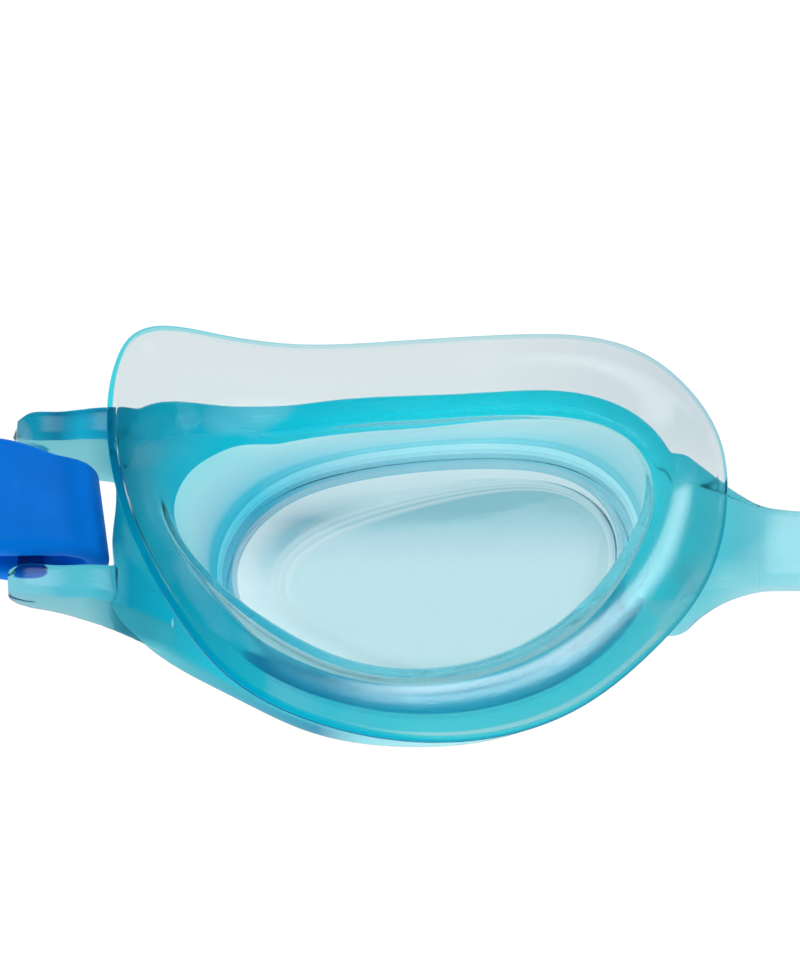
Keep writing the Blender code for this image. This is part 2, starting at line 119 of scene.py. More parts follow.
# sections across X as (x, lowest y, highest y, lowest z, highest z)
UPPER_ARM = [
    (-66.0, 10.6, 16.0, 1.2, 9.4), (-72.4, 11.9, 15.9, 1.4, 11.0), (-77.5, 11.9, 15.4, 2.4, 11.0),
    (-80.6, 11.9, 15.3, 4.2, 11.0), (-82.2, 12.5, 14.7, 5.4, 10.2),
]
LOWER_ARM = [
    (-66.0, -8.6, -3.2, 1.0, 9.0), (-72.4, -6.6, -2.4, 3.4, 10.3), (-77.5, -6.1, -2.4, 5.8, 10.3),
    (-81.2, -5.9, -2.4, 7.0, 10.6), (-82.8, -5.3, -3.0, 7.6, 10.2),
]
BRIDGE_HALF = [
    (-17.5, -5.8, 11.2, 0.05, 9.0), (-14.0, -5.5, 11.6, 0.05, 9.0), (-11.9, -4.3, 10.6, 1.4, 8.3),
    (-9.3, -3.3, 8.9, 2.9, 7.3), (-6.0, -2.7, 7.0, 3.85, 6.65), (-3.0, -2.6, 6.4, 3.95, 6.5),
]
BRIDGE_MIDDLE = (0.0, -2.6, 6.3, 4.0, 6.45)
ARM_ROUNDING, BRIDGE_ROUNDING = 0.6, 1.0
BAR_HALF = (1.4, 1.1)          # half the end bar's width and half its height
BAR_PLAIN = (-1.0, 10.6)       # its even stretch along Y, beyond which both ends spread
BAR_ROOT = 3.2                 # length of a spreading end,
BAR_SPREAD = 0.9               # and how much wider it is at the very end
BRIDGE_BEND = 6.0              # the bridge bends between X = -6 and 6
BRIDGE_SEAM = 0.002            # between the bending strip and the frames

# ---- sizes of the strap ----
STRAP_WIDTH = 13.2
STRAP_NECK = 11.2              # width where it passes through the loop
NECK_LENGTH = 7.2
NECK_SHIFT = 0.75              # how far the neck lies towards the cheek side
FOLD_SLANT = 0.13              # the fold leans to the loop's end by this much per mm towards the brow
FOLD_REACH = 1.05              # how much nearer the frame its cheek side comes
STRAP_THICK = 2.6
STRAP_ROUNDING = 0.36 * STRAP_THICK
# the fold round the end bar as (x, z), from the main run to the tail
FOLD = [
    (-84.2, 11.45), (-82.0, 11.15), (-79.5, 11.05), (-77.2, 10.8), (-75.4, 9.8), (-74.7, 8.25),
    (-75.4, 6.7), (-77.2, 5.65), (-79.5, 5.5), (-82.0, 5.9), (-84.2, 6.8),
]
EXIT_ANGLE = math.radians(14)  # how the strap rises where it leaves the fold
LEG_X = 104.0                  # the straight legs' distance from the mirror plane
LEG_START, LEG_END = 30.0, 72.0    # swing axis to a leg's ends
EXIT_PULL, LEG_PULL = 11.0, 15.0   # how long the curve between fold and leg keeps the direction of each
STRAP_REACH = 114.0            # swing axis to the back of the strap
TWIST_LENGTH = 31.0            # run of strap that turns from flat at the loop to upright
TAIL_GAPS = (4.4, 3.9)         # main run to tail, at the loop and further on
TAIL_GAP_RUN = 20.0            # run over which that gap changes
TAIL_END = 70.0                # swing axis to the tail's tip
TAIL_TAPER = (5.0, 0.30)       # length of the tail's rounded tip, and its loss of width
SLIDE_AT = 48.0                # swing axis to the middle of an adjuster
SLIDE_LENGTH = 11.0
SLIDE_ROOM = 0.7               # channel size beyond the strap's own
SLIDE_WALL = 1.2
SLIDE_RIM = 1.6                # above and below the channels
SLIDE_ROUNDING = 1.3
SLIDE_EDGE = 0.25              # rounding of the edges that the channels and grooves leave
GRIP = 0.7                     # width and depth of a grip groove
GRIP_PITCH = 2.0
GRIP_SHORT = 1.5               # how much shorter a groove is than the channels are tall
DROP = math.asin(-JOINTS["slide_left_travel"]["axis"][2])      # how steeply the legs run down to the table
LAID = math.pi / 2 + DROP                                      # from worn to laid down behind the goggles

# ---- the stage ----
FLOOR_GAP = 0.1                # how far the floor lies under the lens fronts
FLOOR_SIZE = 4.0               # in metres
# how the sky's strength (To) falls as the Z of its direction (From) rises
SKY_FADE = {"To Min": 1.0, "To Max": 0.06, "From Min": 0.15, "From Max": 0.50}
# name, place and size in metres, power in watts
LAMPS = [
    ("key", (0.02, 0.41, 0.78), (0.24, 0.20), 2.2),
    ("front", (-0.30, -0.55, 0.70), (0.30, 0.30), 1.4),
    ("fill", (0.45, 0.05, 0.60), (0.20, 0.20), 1.2),
]
CAMERA_TARGET = (-42.8, 9.4, 5.0)
CAMERA_ELEVATION = math.radians(60)
CAMERA_LENS, CAMERA_SENSOR = 350.0, 36.0
CAMERA_VIEW = 100.7            # what the picture's longer side spans at the target
LIGHT_BOUNCES = 28


# ---- outlines ----

def periodic_spline(knots, values, at):
    """Smooth closed curve through the values at the knots, which are angles in rising order."""
    count = len(knots)
    width = np.diff(np.append(knots, knots[0] + 2 * math.pi))
    rise = (np.roll(values, -1) - values) / width
    system = np.zeros((count, count))
    for i in range(count):
        before, after = width[i - 1], width[i]
        system[i, i - 1] += before
        system[i, i] += 2 * (before + after)
        system[i, (i + 1) % count] += after
    bend = np.linalg.solve(system, 6 * (rise - np.roll(rise, 1)))
    turn = (at - knots[0]) % (2 * math.pi)
    i = np.searchsorted(knots - knots[0], turn, side="right") - 1
    step = turn - (knots[i] - knots[0])
    slope = rise[i] - width[i] * (2 * bend[i] + np.roll(bend, -1)[i]) / 6
    change = (np.roll(bend, -1)[i] - bend[i]) / (6 * width[i])
    return values[i] + step * (slope + step * (bend[i] / 2 + step * change))


def outline(points):
    """The closed outline through the points, at evenly spread angles round the cup's middle."""
    points = np.array([(*p, 0.0)[:3] for p in points])
    away = points[:, :2] - CUP_CENTRE
    angles = np.arctan2(away[:, 1], away[:, 0])
    order = np.argsort(angles)
    angles, away, heights = angles[order], away[order], points[order, 2]
    at = np.arange(STATIONS) * 2 * math.pi / STATIONS
    radius = periodic_spline(angles, np.hypot(away[:, 0], away[:, 1]), at)
    height = periodic_spline(angles, heights, at)
    x = CUP_CENTRE[0] + radius * np.cos(at)
    y = CUP_CENTRE[1] + radius * np.sin(at)
    return np.column_stack([x, y, height])


def offset(line, distance):
    """The outline moved outwards in its own plane."""
    along = np.roll(line, -1, 0) - np.roll(line, 1, 0)
    out = np.column_stack([along[:, 1], -along[:, 0], np.zeros(len(line))])
    return line + distance * out / np.linalg.norm(out, axis=1)[:, None]


def at_height(line, height):
    """The outline at another height."""
    return np.column_stack([line[:, :2], np.broadcast_to(height, len(line))])


def between(a, b, share, lift=0.0):
    """The outline that lies the given share of the way from one to another, raised by lift."""
    return a + (b - a) * share + np.array([0.0, 0.0, lift])


def smooth_step(value):
    """0 below 0, 1 above 1, and an even rise from one to the other."""
    value = np.clip(value, 0, 1)
    return value**2 * (3 - 2 * value)


def towards_middle(line, share):
    """The outline drawn in towards the cup's middle."""
    middle = np.array([*CUP_CENTRE, 0.0])
    inner = middle + (line - middle) * share
    inner[:, 2] = line[:, 2]
    return inner


def smooth_run(points, count):
    """A smooth open curve through points, or rows of points, with count steps between each two."""
    points = np.array(points, float)
    ends = np.concatenate([[2 * points[0] - points[1]], points, [2 * points[-1] - points[-2]]])
    found = []
    for a, b, c, d in zip(ends, ends[1:], ends[2:], ends[3:]):
        for t in np.linspace(0, 1, count, endpoint=False):
            found.append(0.5 * (2 * b + (c - a) * t + (2 * a - 5 * b + 4 * c - d) * t**2
                                + (3 * b - a - 3 * c + d) * t**3))
    found.append(points[-1])
    return np.array(found)


LENS = outline(LENS_OUTLINE)
FRAME = outline(FRAME_OUTLINE)
THROAT = outline(THROAT_OUTLINE)
SKIRT = outline(SKIRT_OUTLINE)


# ---- meshes ----

def new_object(name, mesh):
    made = bpy.data.objects.new(name, mesh)
    bpy.context.scene.collection.objects.link(made)
    return made


def closed_mesh(rows, ring, zones=None):
    """A mesh through rows of points. A ring joins the last row to the first; else both ends are capped.

    zones gives each row, or each point of each row, its place in the section from 0 to 1, which the
    materials read as 'zone'."""
    bm = bmesh.new()
    layer = bm.verts.layers.float.new("zone")
    grid = []
    for k, row in enumerate(rows):
        made = [bm.verts.new((p[0] * MM, (p[1] - CENTRE_Y) * MM, p[2] * MM)) for p in row]
        if zones is not None:
            for vert, zone in zip(made, np.broadcast_to(zones[k], len(made))):
                vert[layer] = float(zone)
        grid.append(made)
    pairs = list(zip(grid, grid[1:]))
    if ring:
        pairs.append((grid[-1], grid[0]))
    else:
        bm.faces.new(grid[0])
        bm.faces.new(list(reversed(grid[-1])))
    for a, b in pairs:
        for i in range(len(a)):
            j = (i + 1) % len(a)
            bm.faces.new((a[i], a[j], b[j], b[i]))
    bmesh.ops.recalc_face_normals(bm, faces=bm.faces)
    return bm


def finish_mesh(name, bm, sharp=35):
    mesh = bpy.data.meshes.new(name)
    bm.to_mesh(mesh)
    bm.free()
    mesh.shade_smooth()
    mesh.set_sharp_from_angle(angle=math.radians(sharp))
    return new_object(name, mesh)


def mirrored_copy(obj, name):
    """The right-hand twin of a left-hand piece."""
    bm = bmesh.new()
    bm.from_mesh(obj.data)
    bmesh.ops.scale(bm, vec=(-1, 1, 1), verts=bm.verts)
    bmesh.ops.reverse_faces(bm, faces=bm.faces)
    return finish_mesh(name, bm)


def rounded_rectangle(width, height, rounding, corner):
    """Points round a rectangle with rounded corners, centred on the origin."""
    points = []
    for quarter, (sx, sy) in enumerate([(1, 1), (-1, 1), (-1, -1), (1, -1)]):
        centre = (sx * (width / 2 - rounding), sy * (height / 2 - rounding))
        for step in range(corner + 1):
            turn = math.pi / 2 * (quarter + step / corner)
            points.append((centre[0] + rounding * math.cos(turn), centre[1] + rounding * math.sin(turn)))
    return points


def beam_rows(sections, rounding, steps=6, corner=5):
    """Rows of a bar along X whose rounded section changes smoothly along the way."""
    rows = []
    for x, y0, y1, z0, z1 in smooth_run(sections, steps):
        shape = rounded_rectangle(y1 - y0, z1 - z0, rounding, corner)
        rows.append([(x, (y0 + y1) / 2 + y, (z0 + z1) / 2 + z) for y, z in shape])
    return rows


def mark_facing(obj):
    """Stores how far the outer surface faces up, as 'upward', and to the cheek side, as 'cheekward', which
    the frame's colour uses for painted shade.
    """
    mesh = obj.data
    facing = np.array([tuple(normal.vector) for normal in mesh.corner_normals])
    upward = smooth_step((facing[:, 2] - 0.12) / 0.23)
    cheekward = smooth_step((-0.1 - facing[:, 1]) / 0.5)
    for name, share in (("upward", upward), ("cheekward", cheekward)):
        layer = mesh.attributes.new(name, "FLOAT", "CORNER")
        layer.data.foreach_set("value", share.astype(np.float32))
    return obj


def applied(obj):
    """Replaces the object's mesh by the one its modifiers make."""
    dg = bpy.context.evaluated_depsgraph_get()
    made = bpy.data.meshes.new_from_object(obj.evaluated_get(dg))
    obj.modifiers.clear()
    obj.data = made
    return obj


def remove(*objs):
    for obj in objs:
        bpy.data.objects.remove(obj, do_unlink=True)


# ---- material helpers ----

class Nodes:
    """Short names for building a node material."""

    def __init__(self, name):
        self.material = bpy.data.materials.new(name)
        self.material.use_nodes = True
        self.tree = self.material.node_tree
        self.shader = self.tree.nodes["Principled BSDF"]
        self.output = self.tree.nodes["Material Output"]

    def add(self, kind, **settings):
        node = self.tree.nodes.new(kind)
        for key, value in settings.items():
            setattr(node, key, value)
        return node

    def link(self, source, target):
        self.tree.links.new(source, target)

    def set(self, **values):
        """Plain values of the shader, by socket name with underscores for spaces."""
        for key, value in values.items():
            self.shader.inputs[key.replace("_", " ")].default_value = value

    def noise(self, scale, detail=3.0):
        """Noise in the object's own space. The scale is in features per metre."""
        place = self.add("ShaderNodeTexCoord")
        node = self.add("ShaderNodeTexNoise")
        node.inputs["Scale"].default_value = scale
        node.inputs["Detail"].default_value = detail
        self.link(place.outputs["Object"], node.inputs["Vector"])
        return node.outputs["Fac"]

    def ramp(self, source, stops):
        """Colours along a value, as [(place, colour), ...]."""
        node = self.add("ShaderNodeValToRGB")
        elements = node.color_ramp.elements
        for n, (place, colour) in enumerate(stops):
            element = elements[n] if n < 2 else elements.new(place)
            element.position = place
            element.color = (*colour, 1.0)
        self.link(source, node.inputs["Fac"])
        return node.outputs["Color"]

    def spread(self, source, low, high, start=0.0, end=1.0):
        """The value moved from start..end to low..high."""
        node = self.add("ShaderNodeMapRange")
        node.inputs["From Min"].default_value = start
        node.inputs["From Max"].default_value = end
        node.inputs["To Min"].default_value = low
        node.inputs["To Max"].default_value = high
        self.link(source, node.inputs["Value"])
        return node.outputs["Result"]

    def attribute(self, name):
        node = self.add("ShaderNodeAttribute", attribute_name=name)
        return node.outputs["Fac"]

    def along(self, axis):
        """Place along one of the object's own axes, in metres."""
        place = self.add("ShaderNodeTexCoord")
        split = self.add("ShaderNodeSeparateXYZ")
        self.link(place.outputs["Object"], split.inputs["Vector"])
        return split.outputs[axis]

    def outwards(self, low, high, start, end):
        """From low to high between two distances from the mirror plane, in millimetres."""
        away = self.add("ShaderNodeMath", operation="ABSOLUTE")
        self.link(self.along("X"), away.inputs[0])
        return self.spread(away.outputs["Value"], low, high, start * MM, end * MM)

    def browwards(self, low, high, start, end):
        """From low to high between two places along Y, in millimetres of the cup's own frame."""
        return self.spread(self.along("Y"), low, high, (start - CENTRE_Y) * MM, (end - CENTRE_Y) * MM)

    def upwards(self, low, high, start, end):
        """From low to high between two heights, in millimetres."""
        return self.spread(self.along("Z"), low, high, start * MM, end * MM)

    def combine(self, operation, first, second):
        node = self.add("ShaderNodeMath", operation=operation)
        self.link(first, node.inputs[0])
        self.link(second, node.inputs[1])
        return node.outputs["Value"]

    def mix(self, share, first, second):
        node = self.add("ShaderNodeMix", data_type="RGBA")
        for socket, value in ((node.inputs[0], share), (node.inputs[6], first), (node.inputs[7], second)):
            if hasattr(value, "links"):
                self.link(value, socket)
            else:
                socket.default_value = value
        return node.outputs[2]

    def bump(self, height, distance, strength=1.0):
        node = self.add("ShaderNodeBump")
        node.inputs["Strength"].default_value = strength
        node.inputs["Distance"].default_value = distance
        self.link(height, node.inputs["Height"])
        self.link(node.outputs["Normal"], self.shader.inputs["Normal"])

    def absorb(self, colour, density):
        node = self.add("ShaderNodeVolumeAbsorption")
        node.inputs["Color"].default_value = (*colour, 1.0)
        node.inputs["Density"].default_value = density
        self.link(node.outputs["Volume"], self.output.inputs["Volume"])


def clothe(obj, made):
    obj.data.materials.clear()
    obj.data.materials.append(made)


# ---- materials ----

def frame_material():
    """Clear aqua elastomer with light and shade painted into its colour: deepest, as painted shade, where it
    is looked into from above and towards the temple.

    Its colours go by the distance from the mirror plane, from 0 to 1 at 80 mm, with painted dark and pale
    bands: one row for the upright rim, one for the flank, and one each for what faces up on the brow side and
    on the cheek side."""
    m = Nodes("aqua_frame")
    m.set(IOR=1.12, Transmission_Weight=1.0, Coat_Roughness=0.25, Specular_IOR_Level=0.2)
    place = m.outwards(0.0, 1.0, 0, 80)
    clear = m.ramp(m.noise(90, 2), [(0.3, (0.84, 0.89, 0.915)), (0.7, (0.88, 0.92, 0.94))])
    # painted shade and light: the dark and pale bands along X stand in for how the lit rim and flank look
    rim = m.ramp(place, [
        (0.05, (0.20, 0.56, 0.66)), (0.14, (0.05, 0.40, 0.52)), (0.30, (0.15, 0.70, 0.80)),
        (0.50, (0.30, 0.84, 0.92)), (0.58, (0.16, 0.66, 0.80)), (0.64, (0.004, 0.12, 0.27)),
        (0.75, (0.004, 0.22, 0.34)), (0.88, (0.02, 0.34, 0.44)), (0.94, (0.08, 0.34, 0.40))])
    flank = m.ramp(place, [
        (0.05, (0.20, 0.56, 0.66)), (0.14, (0.05, 0.45, 0.56)), (0.30, (0.06, 0.64, 0.74)),
        (0.50, (0.12, 1.00, 1.00)), (0.66, (0.004, 0.66, 0.84)), (0.75, (0.001, 0.32, 0.46)),
        (0.86, (0.0003, 0.13, 0.21)), (0.90, (0.001, 0.15, 0.23)), (0.94, (0.08, 0.34, 0.40))])
    side = m.mix(m.upwards(0.0, 1.0, 2.2, 4.2), rim, flank)
    # painted shade: up-facing faces take these deeper colours, darkest towards the temple
    brow = m.ramp(place, [
        (0.05, (0.04, 0.36, 0.48)), (0.10, (0.02, 0.31, 0.43)), (0.20, (0.004, 0.55, 0.70)),
        (0.33, (0.001, 0.64, 0.81)), (0.50, (0.001, 0.65, 0.86)), (0.66, (0.0001, 0.45, 0.68)),
        (0.76, (0.0001, 0.36, 0.58)), (0.85, (0.0001, 0.22, 0.39)), (0.90, (0.0001, 0.05, 0.13)),
        (0.945, (0.0001, 0.19, 0.43)), (0.975, (0.0001, 0.045, 0.13)), (1.0, (0.0001, 0.10, 0.22))])
    cheek = m.ramp(place, [
        (0.03, (0.14, 0.58, 0.68)), (0.12, (0.10, 0.50, 0.60)), (0.17, (0.02, 0.36, 0.48)),
        (0.20, (0.004, 0.55, 0.70)), (0.33, (0.001, 0.64, 0.81)), (0.50, (0.001, 0.65, 0.86)),
        (0.66, (0.0001, 0.50, 0.72)), (0.76, (0.0001, 0.34, 0.56)), (0.88, (0.0001, 0.12, 0.24)),
        (0.93, (0.02, 0.34, 0.48)), (1.0, (0.02, 0.30, 0.44))])
    clouds = m.spread(m.noise(75, 1), 0.0, 0.30, 0.52, 0.66)
    above = m.mix(clouds, m.mix(m.browwards(1.0, 0.0, -3, 0), brow, cheek), (0.30, 0.85, 0.95, 1.0))
    # painted shade by facing: faces turned to the cheek take the rim and flank colours, the rest the clear
    # colour
    around = m.mix(m.attribute("cheekward"), clear, side)
    # how far a face takes the painted deeper shade: by facing up, or by the zone of the cut rows
    deep = m.combine("MAXIMUM", m.attribute("upward"), m.attribute("zone"))
    m.link(m.mix(deep, around, above), m.shader.inputs["Base Color"])
    m.link(m.spread(m.noise(400, 3), 0.12, 0.20), m.shader.inputs["Roughness"])
    bridge = m.outwards(1.0, 0.0, 11, 15)
    loop = m.outwards(0.0, 1.0, 71, 73)
    uncovered = m.combine("MAXIMUM", bridge, loop)
    m.link(m.spread(uncovered, 0.0, 0.10), m.shader.inputs["Coat Weight"])
    m.bump(m.noise(150, 2), 0.00005, 0.4)
    m.absorb((0.30, 0.87, 0.91), 100.0)
    return m.material


def gasket_material():
    """Thin satin skirt: pale where it is one sheet, teal at its free edge as painted shade, glossiest on the
    cheek roll, and a little greyer, as painted shade, in the corner between brow and nose."""
    m = Nodes("aqua_gasket")
    m.set(IOR=1.12, Transmission_Weight=1.0, Coat_Roughness=0.22)
    zone = m.attribute("zone")
    # the teal at the top of the zones is painted shade on the free edge
    colour = m.ramp(zone, [
        (0.0, (0.35, 0.75, 0.82)), (0.015, (0.93, 0.975, 0.98)), (0.26, (0.82, 0.93, 0.94)),
        (0.45, (0.71, 0.77, 0.79)), (0.92, (0.70, 0.75, 0.77)), (0.97, (0.10, 0.60, 0.68)),
        (1.0, (0.001, 0.66, 0.80))])
    # painted shade: greyer in the corner between brow and nose
    corner = m.combine("MULTIPLY", m.outwards(0.45, 0.0, 12, 34), m.browwards(0.0, 1.0, 6, 14))
    m.link(m.mix(corner, colour, (0.42, 0.52, 0.60, 1.0)), m.shader.inputs["Base Color"])
    m.link(m.spread(m.noise(700, 4), 0.06, 0.12), m.shader.inputs["Roughness"])
    roll = m.spread(zone, 1.0, 0.2, 0.52, 0.72)
    cheek = m.browwards(1.0, 0.10, 4, 11)
    ends = m.combine("MULTIPLY", m.outwards(1.0, 0.12, 42, 51), m.outwards(0.5, 1.0, 16, 26))
    gloss = m.combine("MULTIPLY", roll, m.combine("MULTIPLY", cheek, ends))
    m.link(gloss, m.shader.inputs["Coat Weight"])
    m.bump(m.noise(220, 2), 0.00003, 0.3)
    m.absorb((0.40, 0.88, 0.90), 90.0)
    return m.material


def lens_material():
    """Clear lens with a light blue tint: a paler ring, fine light steps that are painted highlights, and a
    window deeper at the brow; the ring and window get darker towards the brow as painted shadow, and the
    ring's ends take painted shade.
    """
    m = Nodes("tinted_lens")
    m.set(IOR=1.12, Transmission_Weight=1.0)
    zone = m.attribute("zone")
    # painted shadow: the ring and window colours darken towards the brow
    rise = m.browwards(0.0, 1.0, -14, 14)
    ring = m.ramp(rise, [
        (0.0, (0.46, 0.78, 0.86)), (0.5, (0.40, 0.66, 0.73)), (1.0, (0.32, 0.547, 0.603))])
    # painted shade: a darker patch at the ring's ends, towards the brow
    corner = m.ramp(rise, [
        (0.0, (0.46, 0.78, 0.86)), (0.50, (0.36, 0.62, 0.70)), (0.66, (0.08, 0.30, 0.40)),
        (0.78, (0.004, 0.14, 0.23)), (0.92, (0.16, 0.42, 0.49))])
    ends = m.combine("MAXIMUM", m.outwards(0.0, 1.0, 44, 54), m.outwards(0.9, 0.0, 22, 30))
    window = m.ramp(rise, [
        (0.0, (0.285, 0.545, 0.605)), (0.52, (0.29, 0.550, 0.61)), (0.60, (0.28, 0.535, 0.59)),
        (0.69, (0.220, 0.455, 0.55)), (0.77, (0.125, 0.375, 0.465)), (0.83, (0.085, 0.31, 0.39))])
    front = m.mix(m.spread(zone, 0.0, 1.0, 0.35, 1.0), window, m.mix(ends, ring, corner))
    # painted highlights: light lines along the lens's steps
    levels = [(0.0, 0.0), (0.22, 0.42), (0.36, 0.05), (0.52, 0.38), (0.64, 0.04), (0.78, 0.25), (0.92, 0.0)]
    step_highlight_levels = m.ramp(zone, [(stop, (level,) * 3) for stop, level in levels])
    steps = m.combine("MULTIPLY", step_highlight_levels, m.spread(rise, 0.0, 1.0, 0.30, 0.50))
    with_step_highlights = m.mix(steps, front, (0.60, 0.78, 0.83, 1.0))
    behind = m.spread(zone, 0.0, 1.0, 1.0, 2.0)
    m.link(m.mix(behind, with_step_highlights, (0.66, 0.82, 0.86, 1.0)), m.shader.inputs["Base Color"])
    m.link(m.spread(m.noise(900, 3), 0.03, 0.08), m.shader.inputs["Roughness"])
    m.absorb((0.72, 0.93, 0.97), 30.0)
    return m.material


def strap_material():
    """Solid blue silicone with a fine matte skin."""
    m = Nodes("blue_strap")
    m.set(IOR=1.43, Specular_IOR_Level=0.05)
    colour = m.ramp(m.noise(260, 4), [(0.3, (0.0, 0.222, 0.915)), (0.7, (0.0, 0.242, 0.980))])
    m.link(colour, m.shader.inputs["Base Color"])
    m.link(m.spread(m.noise(1200, 4), 0.34, 0.52), m.shader.inputs["Roughness"])
    m.bump(m.noise(3800, 2), 0.00003, 0.5)
    return m.material


def slide_material():
    """Darker blue hard plastic with a finely textured face."""
    m = Nodes("blue_adjuster")
    m.set(IOR=1.5)
    colour = m.ramp(m.noise(300, 3), [(0.3, (0.004, 0.060, 0.300)), (0.7, (0.006, 0.080, 0.360))])
    m.link(colour, m.shader.inputs["Base Color"])
    m.link(m.spread(m.noise(1500, 4), 0.30, 0.48), m.shader.inputs["Roughness"])
    m.bump(m.noise(2600, 3), 0.00004, 0.5)
    return m.material


# ---- cup pieces ----

def sleeve_line(share):
    """The gasket's inner wall, from the lens seat (0) to the throat (1)."""
    foot = at_height(offset(LENS, SLEEVE_OFFSET), SLEEVE_START)
    return between(foot, THROAT, share)


def frame_body_rows():
    """The frame as a filled body with a rounded front edge. On the cheek side it has an upright rim and
    a sloping flank. Its inside is cut out afterwards."""
    top = FRAME_HEIGHT + TEMPLE_RISE * smooth_step((-FRAME[:, 0] - 60) / 10)
    cheek = smooth_step(-FRAME[:, 1] / 8)
    rim = (top - BROW_INSET) * (1 - cheek) + RIM_HEIGHT * cheek
    inset = (BROW_INSET * (1 - cheek) + FLANK_INSET * cheek)[:, None]
    low = FRONT_ROUNDING
    rows = [at_height(towards_middle(FRAME, 0.5), 0.0), at_height(offset(FRAME, -low), 0.0)]
    for turn in np.linspace(0, math.pi / 2, 5)[1:]:
        rows.append(at_height(offset(FRAME, -low * (1 - math.sin(turn))), low * (1 - math.cos(turn))))
    rows += [at_height(FRAME, rim), at_height(offset(FRAME, -inset), top)]
    rows.append(at_height(towards_middle(FRAME, 0.75), top - 0.2))
    rows.append(at_height(towards_middle(FRAME, 0.4), FRAME_HEIGHT))
    return rows


def hollow_rows():
    """What is cut out of the frame: front opening, lens groove, seat steps and the room for the sleeve.

    The second list tells how much of the frame's painted deep shade each row takes: the ledge most of all,
    and more so at the temple, then the lip over the lens, then the wall."""
    clear = SLEEVE_WALL + SLEEVE_GAP
    lip = (LIP[0] + LIP[1] * smooth_step((LENS[:, 1] + 2) / 12))[:, None]
    rows = [
        at_height(offset(LENS, 0.6), -1.0),
        at_height(offset(LENS, 0.6), 0.0),
        at_height(offset(LENS, 0.35), 0.35),
        at_height(offset(LENS, 0.3), GROOVE[0]),
        at_height(offset(LENS, GROOVE_REACH), GROOVE[0]),
        at_height(offset(LENS, GROOVE_REACH), GROOVE[1] - 0.05),
        at_height(offset(LENS, -lip), GROOVE[1]),
        at_height(offset(LENS, -lip - 0.05), GROOVE[1] + 0.15),
        at_height(offset(LENS, -lip + 0.07), SEAT_LEDGE - 0.45),
        at_height(offset(LENS, -lip + 0.40), SEAT_LEDGE - 0.40),
        at_height(offset(LENS, -lip + 0.55), SEAT_LEDGE),
        at_height(offset(LENS, SLEEVE_OFFSET + clear), SEAT_LEDGE + 0.02),
        offset(sleeve_line(0.5), clear),
        offset(sleeve_line(1.0), clear),
        offset(sleeve_line(1.5), clear + 1.5),
    ]
    # painted shade on the cut rows: deepest on the ledge, and more so at the temple
    ledge = 0.72 + 0.26 * smooth_step((-LENS[:, 0] - 45) / 12)
    return rows, [0.0] * 6 + [0.5, 0.5, 0.2, 0.3, ledge, ledge] + [0.22] * 3


def end_bar_rows():
    """The oval bar at the loop's end, with its ends spreading into the arms."""
    rows = []
    turns = np.linspace(0, 2 * math.pi, 24, endpoint=False)
    low, high = BAR_PLAIN
    for y in np.linspace(low - BAR_ROOT, high + BAR_ROOT, 19):
        beyond = max(0.0, y - high, low - y) / BAR_ROOT
        spread = BAR_SPREAD * beyond**2
        wide, tall = BAR_HALF[0] + spread, BAR_HALF[1] + spread
        rows.append([(-BAR_X + wide * math.cos(t), y, BAR_Z + tall * math.sin(t)) for t in turns])
    return rows


def moulding():
    """The left cup's body, loop arms and end bar, melted together with the bridge into one smooth body."""
    bridge = [*BRIDGE_HALF, BRIDGE_MIDDLE, *[(-x, *rest) for x, *rest in reversed(BRIDGE_HALF)]]
    body = bmesh.new()
    for rows in (frame_body_rows(), beam_rows(UPPER_ARM, ARM_ROUNDING), beam_rows(LOWER_ARM, ARM_ROUNDING),
                 end_bar_rows(), beam_rows(bridge, BRIDGE_ROUNDING)):
        part = closed_mesh(rows, ring=False)
        scratch = bpy.data.meshes.new("scratch")
        part.to_mesh(scratch)
        part.free()
        body.from_mesh(scratch)
        bpy.data.meshes.remove(scratch)
    bmesh.ops.triangulate(body, faces=[f for f in body.faces if len(f.verts) > 4])
    made = finish_mesh("moulding", body)
    melt = made.modifiers.new("melt", "REMESH")
    melt.mode = "VOXEL"
    melt.voxel_size = REMESH * MM
    soften = made.modifiers.new("soften", "SMOOTH")
    soften.factor = 0.5
    soften.iterations = 5
    return mark_facing(applied(made))


def slice_between(obj, name, low, high):
    """A closed copy of the part of a piece that lies between two planes across X."""
    bm = bmesh.new()
    bm.from_mesh(obj.data)
    for x, facing in ((low, -1), (high, 1)):
        if x is None:
            continue
        cut = bmesh.ops.bisect_plane(bm, geom=[*bm.verts, *bm.edges, *bm.faces], plane_co=(x * MM, 0, 0),
                                     plane_no=(facing, 0, 0), clear_outer=True)
        rim = [item for item in cut["geom_cut"] if isinstance(item, bmesh.types.BMEdge)]
        bmesh.ops.triangle_fill(bm, edges=rim, use_beauty=True)
    bmesh.ops.recalc_face_normals(bm, faces=bm.faces)
    return finish_mesh(name, bm, sharp=MOULDING_SHARP)


def carry_zones(obj, cutter):
    """Gives the cut faces the zones of the cutter, whose points they share."""
    tree = kdtree.KDTree(len(cutter.data.vertices))
    for vertex in cutter.data.vertices:
        tree.insert(vertex.co, vertex.index)
    tree.balance()
    theirs = cutter.data.attributes["zone"].data
    ours = obj.data.attributes["zone"].data
    for vertex in obj.data.vertices:
        _, nearest, away = tree.find(vertex.co)
        if away < 0.01 * MM:
            ours[vertex.index].value = theirs[nearest].value


